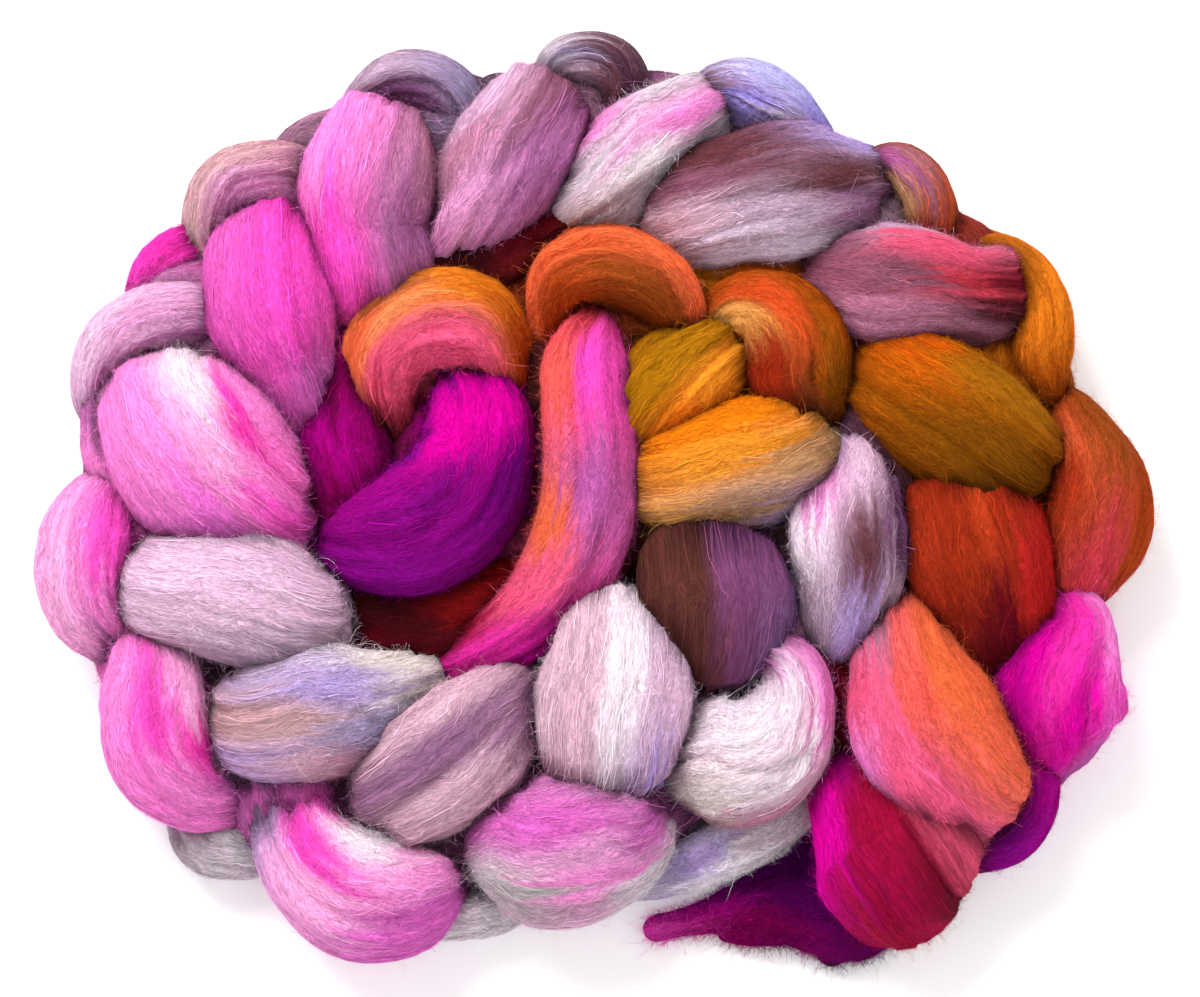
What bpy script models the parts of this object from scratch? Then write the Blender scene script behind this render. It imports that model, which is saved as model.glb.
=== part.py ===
"""A length of hand-dyed combed wool top, chain-braided and coiled flat on a table.

Two solids: the braided coil, which is one continuous strand whose folds press into each other,
and the loose outer end of the strand, a thin wisp that lies on the table.
Millimetres in the tables, metres in the model. +X is to the right, +Z is up, the table is z = 0.
"""

import math
from collections import namedtuple

import bmesh
import bpy
from mathutils import Vector

MM = 0.001

# Where the middle of the whole coil lies in the tables below, so that it ends at the origin.
COIL_MIDDLE = (0.8, 4.1)

# The braided coil is worked out in a skin of small cells, then thinned.
SKIN_CELL = 2.3
SKIN_TRIANGLES = 11000

# Rings along a fold, points round each ring (and round the loose end), steps along the centre
# lines of a fold and of the braid, and how far a fold's round end reaches past its last point,
# as a share of its width there.
FOLD_RINGS = 26
FOLD_SIDES = 22
FOLD_STEPS = 60
FOLD_LINE_EVERY = 6
BRAID_STEPS = 400
CAP_REACH = 0.4

# The underside of the braid: a row of back loops along the middle of the braid, and the strand
# that runs inside it.
BACK_PITCH = 34.0
BACK_LENGTH = 40.0
BACK_SLANT = 11.0
BACK_WIDTH = 40.0
BACK_DEPTH = 34.0
BACK_HEIGHT = 15.5
CORE_WIDTH = 38.0
CORE_DEPTH = 22.0
CORE_HEIGHT = 25.0

# The loose end stays clear of the coil, and its lowest wool is pressed flat on the table.
LOOSE_END_GAP = 0.4
LOOSE_END_PRESS = 1.5

# A fold of the strand: points of its centre line (x, y, z), the width across it, its thickness
# as a share of the width, how wide it stays at its first and last point, and where it is widest.
Fold = namedtuple("Fold", "name line width depth first last belly")

# The inner leg and the outer arc of each stitch, from the loose end round the coil to its middle.
FOLDS = (
    Fold("crimson_leg", ((81, -81, 23), (88, -107, 30), (95, -125, 21)), 50, 0.91, 0.55, 0.62, 0.6),
    Fold("coral_leg", ((92, -38, 29), (98, -66, 35), (110, -95, 31)), 45, 1.03, 0.55, 0.72, 0.6),
    Fold("violet_arc", ((128, -86, 22), (122, -99, 20), (110, -106, 20)), 23, 1.2, 0.6, 0.6, 0.5),
    Fold("magenta_arc", ((140, -34, 29), (143, -54, 26), (129, -78, 19)), 38, 1.13, 0.66, 0.5, 0.42),
    Fold("brick_leg", ((105, -3, 24), (113, -24, 32), (118, -47, 24)), 43, 0.92, 0.75, 0.5, 0.42),
    Fold("rust_arc", ((140, 27, 20), (152, 13, 25), (152, -8, 25), (144, -27, 20)),
         31, 1.18, 0.5, 0.6, 0.5),
    Fold("gold_leg", ((86, 37, 25), (106, 22, 35), (124, 6, 31)), 46, 1.00, 0.62, 0.62, 0.5),
    Fold("orange_arc", ((118, 76, 19), (134, 69, 23), (138, 53, 24), (136, 35, 19)),
         24, 1.42, 0.6, 0.6, 0.5),
    Fold("mauve_red_leg", ((68, 61, 28), (94, 63, 34), (121, 62, 23)), 38, 1.14, 0.72, 0.6, 0.5),
    Fold("tan_arc", ((90, 100, 23), (98, 100, 24), (105, 85, 17)), 23, 1.42, 0.75, 0.6, 0.5),
    Fold("plum_leg", ((20, 86, 24), (50, 92, 34), (81, 97, 26)), 42, 1.03, 0.35, 0.6, 0.58),
    Fold("lavender_arc", ((39, 117, 19), (33, 123, 23), (42, 127, 23), (56, 123, 19), (64, 117, 13)),
         17, 1.82, 0.7, 0.6, 0.4),
    Fold("silver_leg", ((32, 121, 23), (14, 105, 32), (-5, 92, 25)), 37, 1.11, 0.62, 0.6, 0.52),
    Fold("lilac_arc", ((-14, 133, 18), (-1, 136, 22), (11, 130, 18)), 21, 1.48, 0.7, 0.6, 0.5),
    Fold("orchid_leg", ((-12, 124, 27), (-28, 100, 34), (-46, 74, 28)), 38, 1.14, 0.72, 0.5, 0.45),
    Fold("slate_arc", ((-74, 116, 17), (-70, 126, 21), (-57, 130, 23), (-45, 123, 21), (-40, 113, 17)),
         20, 1.61, 0.7, 0.5, 0.5),
    Fold("pink_leg", ((-68, 114, 27), (-69, 91, 35), (-70, 60, 24)), 41, 1.12, 0.7, 0.38, 0.38),
    Fold("beige_arc", ((-116, 73, 16), (-117, 87, 21), (-108, 99, 24), (-90, 100, 20)),
         21, 1.62, 0.6, 0.7, 0.5),
    Fold("rose_leg", ((-102, 84, 23), (-98, 58, 34), (-90, 28, 23)), 39, 1.12, 0.62, 0.45, 0.45),
    Fold("mauve_arc", ((-152, 32, 14), (-147, 48, 20), (-134, 56, 24), (-118, 59, 20)),
         22, 1.59, 0.6, 0.7, 0.5),
    Fold("blush_leg", ((-128, 36, 25), (-118, 12, 35), (-99, -9, 27)), 50, 0.92, 0.6, 0.62, 0.5),
    Fold("peony_arc", ((-147, -1, 20), (-154, -19, 24), (-150, -36, 22), (-142, -45, 16)),
         26, 1.29, 0.7, 0.5, 0.45),
    Fold("pearl_leg", ((-134, -26, 23), (-109, -33, 33), (-79, -42, 25)), 40, 1.07, 0.62, 0.5, 0.48),
    Fold("fuchsia_arc", ((-126, -53, 27), (-134, -68, 23), (-129, -84, 20), (-110, -90, 15)),
         31, 1.3, 0.75, 0.5, 0.45),
    Fold("lilac_leg", ((-104, -69, 25), (-81, -66, 34), (-52, -59, 25)), 40, 1.09, 0.66, 0.5, 0.48),
    Fold("dusk_leg", ((-64, -92, 24), (-44, -81, 34), (-25, -63, 28)), 37, 1.19, 0.6, 0.72, 0.52),
    Fold("candy_arc", ((-92, -89, 18), (-84, -108, 25), (-66, -120, 27), (-47, -116, 26)),
         37, 1.07, 0.6, 0.66, 0.6),
    Fold("orchid_arc", ((-33, -107, 22), (-10, -110, 28), (14, -99, 26)), 44, 0.96, 0.66, 0.72, 0.55),
    Fold("shell_leg", ((6, -39, 25), (4, -63, 37), (1, -82, 27)), 47, 1.07, 0.62, 0.72, 0.55),
    Fold("white_arc", ((28, -81, 23), (47, -81, 29), (59, -66, 31), (57, -52, 33), (46, -53, 29)),
         37, 1.12, 0.82, 0.38, 0.32),
    Fold("umber_leg", ((34, -15, 26), (36, -33, 34), (33, -50, 22)), 49, 0.89, 0.7, 0.66, 0.5),
    Fold("iris_arc", ((80, 10, 24), (75, -16, 32), (69, -44, 24)), 37, 1.09, 0.7, 0.5, 0.45),
    Fold("amber_leg", ((16, 0, 25), (38, 7, 35), (59, 16, 29)), 37, 1.24, 0.66, 0.72, 0.55),
    Fold("mustard_leg", ((16, 19, 24), (26, 32, 33), (37, 43, 26)), 32, 1.29, 0.6, 0.62, 0.5),
    Fold("copper_arc", ((35, 50, 29), (48, 52, 33), (62, 44, 31), (64, 29, 25), (64, 20, 21)),
         28, 1.53, 0.66, 0.6, 0.5),
    Fold("flame_arc", ((-14, 56, 20), (-11, 66, 30), (4, 68, 36), (19, 61, 32), (24, 54, 22)),
         28, 1.71, 0.6, 0.6, 0.5),
    Fold("coral_run", ((-2, 51, 34), (-4, 28, 38), (-2, 4, 36), (-4, -17, 36), (-15, -36, 34),
                       (-35, -48, 28), (-50, -52, 24)), 27, 1.0, 0.75, 0.6, 0.45),
    Fold("peach_arc", ((-27, 39, 23), (-36, 51, 33), (-54, 47, 35), (-64, 33, 31), (-63, 20, 21)),
         29, 1.59, 0.6, 0.6, 0.5),
    Fold("violet_loop", ((-39, 33, 23), (-36, 12, 32), (-44, -6, 35), (-60, -12, 33), (-74, -13, 25)),
         38, 1.21, 0.62, 0.8, 0.6),
)

# Stretches of the strand that show behind and below the stitches.
UNDER_FOLDS = (
    Fold("mauve_side", ((-147, 31, 18), (-148, 11, 24), (-132, -7, 24)), 20, 1.0, 0.6, 0.5, 0.5),
    Fold("pink_back", ((-140, 65, 14), (-133, 74, 18), (-122, 81, 18)), 20, 0.95, 0.6, 0.6, 0.5),
    Fold("blush_back", ((-89, 110, 14), (-82, 116, 17), (-74, 119, 16)), 13, 1.0, 0.6, 0.6, 0.5),
    Fold("lavender_back", ((46, 133, 18), (58, 127, 18), (68, 118, 14)), 8, 1.2, 0.7, 0.6, 0.5),
    Fold("orange_back", ((108, 78, 16), (116, 80, 18), (125, 77, 16)), 11, 1.1, 0.7, 0.6, 0.5),
    Fold("rust_back", ((138, 32, 16), (143, 31, 16), (149, 24, 16)), 11, 1.1, 0.7, 0.6, 0.5),
    Fold("maroon_back", ((146, -29, 14), (152, -33, 14), (154, -40, 14)), 12, 1.0, 0.7, 0.6, 0.5),
    Fold("silver_back", ((-124, -98, 13), (-115, -105, 14), (-100, -107, 13)), 18, 0.95, 0.7, 0.6, 0.5),
    Fold("mist_back", ((-47, -128, 12), (-37, -125, 13), (-28, -119, 13)), 13, 1.0, 0.7, 0.6, 0.5),
    Fold("white_wisp", ((13, -117, 13), (38, -107, 13), (64, -90, 12)), 20, 0.6, 0.5, 0.5, 0.5),
    Fold("umber_back", ((78, 28, 22), (86, 10, 24), (92, -8, 22)), 26, 0.9, 0.6, 0.6, 0.5),
    Fold("gold_back", ((27, 69, 24), (45, 70, 26), (62, 64, 24)), 19, 0.95, 0.6, 0.6, 0.5),
    Fold("rust_shade", ((-53, 67, 22), (-32, 76, 26), (-8, 84, 24)), 30, 0.8, 0.6, 0.6, 0.5),
    Fold("plum_strip", ((-78, 54, 22), (-78, 24, 24), (-74, -10, 20)), 32, 0.8, 0.6, 0.6, 0.5),
    Fold("maroon_run", ((-23, -31, 22), (-50, -34, 20), (-76, -26, 16)), 36, 0.7, 0.7, 0.6, 0.5),
    Fold("inner_run", ((14, 36, 22), (12, 0, 20), (8, -34, 20)), 30, 0.8, 0.7, 0.7, 0.5),
    Fold("outer_run", ((88, 52, 20), (84, 0, 20), (76, -48, 20), (84, -92, 18)), 30, 0.8, 0.7, 0.7, 0.5),
)

# The middle of the braid, from the loose end round the coil and in to its centre (x, y).
BRAID_LINE = (
    (92, -107), (114, -75), (127, -46), (129, 9), (121, 39), (104, 70), (78, 90), (52, 103),
    (25, 112), (-11, 117), (-47, 113), (-84, 99), (-112, 72), (-132, 36), (-138, 0), (-134, -31),
    (-122, -61), (-103, -84), (-74, -98), (-43, -100), (-11, -96), (16, -84), (41, -68), (56, -43),
    (61, -15), (59, 11), (53, 33), (35, 50), (13, 61), (-11, 65), (-37, 58), (-55, 38), (-53, 15),
    (-38, -6), (-12, -6),
)

# Sections across the loose end, from its tip to where it comes out from under the coil:
# x, the front and back edge (y) and the height that it stands off the table.
Section = namedtuple("Section", "x front back height")
LOOSE_END = (
    Section(15, -129, -127, 3),
    Section(24, -131, -122, 5),
    Section(35, -131, -116, 7),
    Section(47, -132, -110, 9),
    Section(54, -133, -104, 10),
    Section(62, -135, -99, 11),
    Section(69, -138, -96, 11),
    Section(76, -136, -97, 10),
    Section(83, -130, -102, 8),
)


def make_material(name, colour, roughness):
    """A matt wool finish of one colour."""
    material = bpy.data.materials.new(name)
    material.use_nodes = True
    shader = material.node_tree.nodes["Principled BSDF"]
    shader.inputs["Base Color"].default_value = (*colour, 1.0)
    shader.inputs["Roughness"].default_value = roughness
    shader.inputs["Metallic"].default_value = 0.0
    return material


def smooth_line(points, steps):
    """Points at even distances along a smooth curve through the given ones."""
    points = [Vector(p) for p in points]
    before = points[0] * 2 - points[1]
    after = points[-1] * 2 - points[-2]
    padded = [before, *points, after]
    dense = []
    for a, b, c, d in zip(padded, padded[1:], padded[2:], padded[3:]):
        for step in range(steps):
            t = step / steps
            dense.append(0.5 * (2 * b + (c - a) * t + (2 * a - 5 * b + 4 * c - d) * t * t
                                + (3 * b - a - 3 * c + d) * t * t * t))
    dense.append(points[-1])
    along = [0.0]
    for a, b in zip(dense, dense[1:]):
        along.append(along[-1] + (b - a).length)
    even = []
    index = 0
    for step in range(steps + 1):
        target = along[-1] * step / steps
        while index < len(along) - 2 and along[index + 1] < target:
            index += 1
        span = along[index + 1] - along[index]
        even.append(dense[index].lerp(dense[index + 1], (target - along[index]) / span))
    return even, along[-1]


def fold_width(fold, t):
    """The share of its full width that a fold has at t, from 0 at its first end to 1."""
    if t < fold.belly:
        return fold.first + (1 - fold.first) * math.sin(math.pi / 2 * t / fold.belly)
    return fold.last + (1 - fold.last) * math.sin(math.pi / 2 * (1 - t) / (1 - fold.belly))


def add_fold(mesh, fold):
    """Lofts one plump fold of the strand, with round ends, into the mesh."""
    line, _ = smooth_line(fold.line, FOLD_STEPS)
    first_cap = (line[0] - line[1]).normalized() * fold.width * fold.first * CAP_REACH
    last_cap = (line[-1] - line[-2]).normalized() * fold.width * fold.last * CAP_REACH
    capped = [line[0] + first_cap, *line[::FOLD_LINE_EVERY], line[-1] + last_cap]
    line, length = smooth_line(capped, FOLD_STEPS)
    rings = []
    for ring in range(1, FOLD_RINGS):
        t = 0.5 - 0.5 * math.cos(math.pi * ring / FOLD_RINGS)
        at = min(int(t * FOLD_STEPS), FOLD_STEPS - 1)
        middle = line[at].lerp(line[at + 1], t * FOLD_STEPS - at)
        ahead = (line[at + 1] - line[at]).normalized()
        side = ahead.cross(Vector((0, 0, 1))).normalized()
        rise = side.cross(ahead)
        half = fold.width / 2 * fold_width(fold, t)
        for end, cap in ((t * length, first_cap), ((1 - t) * length, last_cap)):
            half *= math.sqrt(max(0.0, 1 - max(0.0, 1 - end / (2 * cap.length)) ** 2))
        turns = [2 * math.pi * k / FOLD_SIDES for k in range(FOLD_SIDES)]
        rings.append([mesh.verts.new(middle + side * half * math.cos(turn)
                                     + rise * half * fold.depth * math.sin(turn))
                      for turn in turns])
    close_loft(mesh, rings)


def close_loft(mesh, rings):
    """Joins rings of points with faces and closes both ends."""
    for a, b in zip(rings, rings[1:]):
        for k in range(len(a)):
            mesh.faces.new((a[k - 1], a[k], b[k], b[k - 1]))
    mesh.faces.new(rings[0])
    mesh.faces.new(tuple(reversed(rings[-1])))


def back_folds():
    """The back loops along the underside of the braid, and the strand inside it."""
    line, length = smooth_line([(x, y, BACK_HEIGHT) for x, y in BRAID_LINE], BRAID_STEPS)
    count = round(length / BACK_PITCH)
    reach = BACK_LENGTH / length / 2
    folds = []
    for index in range(count):
        middle = (index + 0.5) / count
        points = []
        for step in (-1, 0, 1):
            at = min(max(round((middle + step * reach) * BRAID_STEPS), 1), BRAID_STEPS - 1)
            across = (line[at + 1] - line[at - 1]).cross(Vector((0, 0, 1))).normalized()
            points.append(tuple(line[at] + across * BACK_SLANT * step))
        folds.append(Fold(f"back_{index:02d}", tuple(points), BACK_WIDTH, BACK_DEPTH / BACK_WIDTH,
                          0.3, 0.3, 0.5))
    core = tuple((x, y, CORE_HEIGHT) for x, y in BRAID_LINE)
    folds.append(Fold("core", core, CORE_WIDTH, CORE_DEPTH / CORE_WIDTH, 0.9, 0.9, 0.5))
    return folds


def to_metres(mesh):
    """Puts the middle of the coil at the origin and turns the tables' millimetres into metres."""
    for vertex in mesh.verts:
        vertex.co = (vertex.co - Vector((*COIL_MIDDLE, 0.0))) * MM


def press_flat(mesh):
    """The wool that would go below the table is pressed flat against it."""
    for vertex in mesh.verts:
        vertex.co.z = max(vertex.co.z, 0.0)


def add_object(name, mesh, material, collection):
    """Makes an object of a bmesh and puts it in the collection."""
    bmesh.ops.recalc_face_normals(mesh, faces=mesh.faces)
    data = bpy.data.meshes.new(name)
    mesh.to_mesh(data)
    mesh.free()
    data.materials.append(material)
    part = bpy.data.objects.new(name, data)
    collection.objects.link(part)
    return part


def evaluated(part):
    """A bmesh of the object with its modifiers applied."""
    bpy.context.view_layer.update()
    graph = bpy.context.evaluated_depsgraph_get()
    data = bpy.data.meshes.new_from_object(part.evaluated_get(graph))
    mesh = bmesh.new()
    mesh.from_mesh(data)
    bpy.data.meshes.remove(data)
    return mesh


def keep_largest_shell(mesh):
    """Deletes every loose shell but the one with most points, such as small hollows inside."""
    unseen = set(mesh.verts)
    shells = []
    while unseen:
        shell = {unseen.pop()}
        edge_of_shell = list(shell)
        while edge_of_shell:
            vertex = edge_of_shell.pop()
            for edge in vertex.link_edges:
                other = edge.other_vert(vertex)
                if other in unseen:
                    unseen.remove(other)
                    shell.add(other)
                    edge_of_shell.append(other)
        shells.append(shell)
    shells.sort(key=len)
    for shell in shells[:-1]:
        bmesh.ops.delete(mesh, geom=list(shell), context="VERTS")


def apply_to_mesh(part, mesh):
    """Gives the object the bmesh as its own mesh, with no modifiers."""
    part.modifiers.clear()
    mesh.to_mesh(part.data)
    mesh.free()


def build_coil(collection):
    """The braided coil: all the folds of the strand, pressed into one skin."""
    mesh = bmesh.new()
    for fold in (*FOLDS, *UNDER_FOLDS, *back_folds()):
        add_fold(mesh, fold)
    to_metres(mesh)
    wool = make_material("dyed_wool", (0.72, 0.25, 0.48), 0.85)
    coil = add_object("braided_coil", mesh, wool, collection)
    skin = coil.modifiers.new("skin", "REMESH")
    skin.mode = "VOXEL"
    skin.voxel_size = SKIN_CELL * MM
    mesh = evaluated(coil)
    keep_largest_shell(mesh)
    bmesh.ops.triangulate(mesh, faces=mesh.faces)
    share = SKIN_TRIANGLES / len(mesh.faces)
    apply_to_mesh(coil, mesh)
    thin = coil.modifiers.new("thin", "DECIMATE")
    thin.ratio = share
    mesh = evaluated(coil)
    press_flat(mesh)
    apply_to_mesh(coil, mesh)
    coil.data.shade_smooth()
    return coil


def build_loose_end(coil, collection, cutters):
    """The wisp at the outer end of the strand, cut clear of the coil that it comes out from."""
    mesh = bmesh.new()
    rings = []
    for section in LOOSE_END:
        middle = (section.front + section.back) / 2
        half = (section.back - section.front) / 2
        thick = section.height + LOOSE_END_PRESS
        ring = []
        for k in range(FOLD_SIDES):
            turn = 2 * math.pi * k / FOLD_SIDES
            height = thick / 2 * (1 + math.sin(turn)) - LOOSE_END_PRESS
            ring.append(mesh.verts.new((section.x, middle + half * math.cos(turn), height)))
        rings.append(ring)
    close_loft(mesh, rings)
    to_metres(mesh)
    press_flat(mesh)
    wool = make_material("purple_wool", (0.32, 0.01, 0.24), 0.85)
    wisp = add_object("loose_end", mesh, wool, collection)

    cutter = bpy.data.objects.new("coil_and_gap", coil.data.copy())
    cutters.objects.link(cutter)
    cutter.hide_render = True
    cutter.display_type = "WIRE"
    grow = cutter.modifiers.new("gap", "DISPLACE")
    grow.mid_level = 0.0
    grow.strength = LOOSE_END_GAP * MM
    cut = wisp.modifiers.new("clear_of_coil", "BOOLEAN")
    cut.object = cutter
    mesh = evaluated(wisp)
    keep_largest_shell(mesh)
    apply_to_mesh(wisp, mesh)
    return wisp


def main():
    for old in list(bpy.data.objects):
        bpy.data.objects.remove(old)
    collection = bpy.data.collections.new("wool_roving")
    cutters = bpy.data.collections.new("cutters")
    for group in (collection, cutters):
        bpy.context.scene.collection.children.link(group)
    coil = build_coil(collection)
    build_loose_end(coil, collection, cutters)


main()
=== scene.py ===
"""The looks of a coiled, chain-braided length of hand-dyed combed wool top.

Each fold of the strand is a plump loft with lengthwise ridges and creases, its dyes blended along
the fibres, and covered with fine fibres that follow it and a fuzz that stands off it.
Tables are in millimetres, the scene is in metres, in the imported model's frame.
"""
import math

import bpy
import numpy as np
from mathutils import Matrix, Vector


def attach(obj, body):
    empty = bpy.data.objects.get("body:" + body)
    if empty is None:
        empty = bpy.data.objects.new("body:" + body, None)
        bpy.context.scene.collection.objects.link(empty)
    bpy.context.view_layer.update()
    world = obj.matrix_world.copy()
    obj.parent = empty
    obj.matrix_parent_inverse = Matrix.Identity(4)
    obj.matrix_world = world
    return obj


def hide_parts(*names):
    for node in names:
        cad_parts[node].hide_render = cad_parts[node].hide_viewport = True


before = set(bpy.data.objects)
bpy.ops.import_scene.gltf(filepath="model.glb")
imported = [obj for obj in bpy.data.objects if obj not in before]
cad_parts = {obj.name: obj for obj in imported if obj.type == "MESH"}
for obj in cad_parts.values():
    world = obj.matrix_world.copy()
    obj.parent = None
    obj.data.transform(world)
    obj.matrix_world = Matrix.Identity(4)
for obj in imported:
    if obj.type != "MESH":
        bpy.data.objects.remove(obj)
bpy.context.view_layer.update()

MM = 0.001
COIL_MIDDLE = (0.8, 4.1)
FLOOR_GAP = 0.15
UP = np.array((0.0, 0.0, 1.0))
rng = np.random.default_rng(41)

# The dyes, as sRGB from 0 to 255.
DYES = {
    "white_wool": (246, 235, 241), "white_pink": (247, 228, 240), "cream": (232, 220, 214),
    "silver": (214, 200, 210), "silver_grey": (182, 165, 177), "grey_green": (180, 176, 174),
    "silver_lilac": (218, 198, 220), "mauve_silver": (184, 154, 176), "mauve_pale": (208, 166, 196),
    "pink_pale": (230, 188, 216), "pink_light": (248, 168, 216), "lilac": (200, 166, 216),
    "lilac_pink": (224, 152, 200), "periwinkle": (158, 140, 224), "periwinkle_pale": (190, 184, 234),
    "lavender": (176, 150, 208), "lavender_grey": (150, 134, 170), "violet_grey": (130, 98, 146),
    "rose_pale": (216, 172, 190), "beige_rose": (200, 156, 160), "dusty_rose": (184, 120, 150),
    "dusk": (146, 98, 134), "mauve": (168, 98, 152), "mauve_pink": (190, 116, 172),
    "mauve_dark": (112, 64, 106), "orchid": (216, 98, 188), "orchid_light": (244, 132, 206),
    "orchid_mauve": (186, 90, 164), "orchid_hot": (244, 74, 190), "hot_pink": (240, 48, 170),
    "magenta_bright": (222, 0, 158), "magenta": (176, 0, 134), "deep_magenta": (126, 0, 76),
    "violet_magenta": (138, 6, 134), "violet": (124, 4, 116), "violet_dark": (92, 0, 96),
    "plum": (128, 70, 116), "plum_rose": (138, 82, 104), "plum_brown": (104, 54, 60),
    "plum_dark": (62, 28, 52), "umber": (92, 48, 42), "brown_rust": (108, 50, 26), "maroon": (92, 6, 22),
    "maroon_dark": (60, 10, 16), "crimson": (156, 8, 52), "crimson_dark": (98, 2, 32), "red": (186, 34, 32),
    "red_dark": (132, 16, 20), "rose_red": (204, 58, 76), "coral_rose": (226, 82, 116),
    "coral_pink": (240, 88, 130), "coral": (242, 94, 86), "coral_orange": (236, 104, 60),
    "vermilion": (216, 78, 32), "brick": (156, 42, 16), "rust": (176, 66, 18), "rust_brown": (148, 68, 20),
    "copper": (172, 76, 8), "burnt_orange": (208, 88, 6), "orange": (228, 124, 26),
    "orange_vivid": (236, 126, 10), "peach": (242, 144, 88), "amber": (234, 142, 36),
    "amber_pale": (234, 164, 84), "tan": (188, 140, 98), "ochre": (160, 96, 8), "ochre_light": (182, 116, 20),
    "ochre_dark": (124, 70, 4), "mustard": (172, 112, 8), "rose_brown": (156, 106, 108),
}

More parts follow.
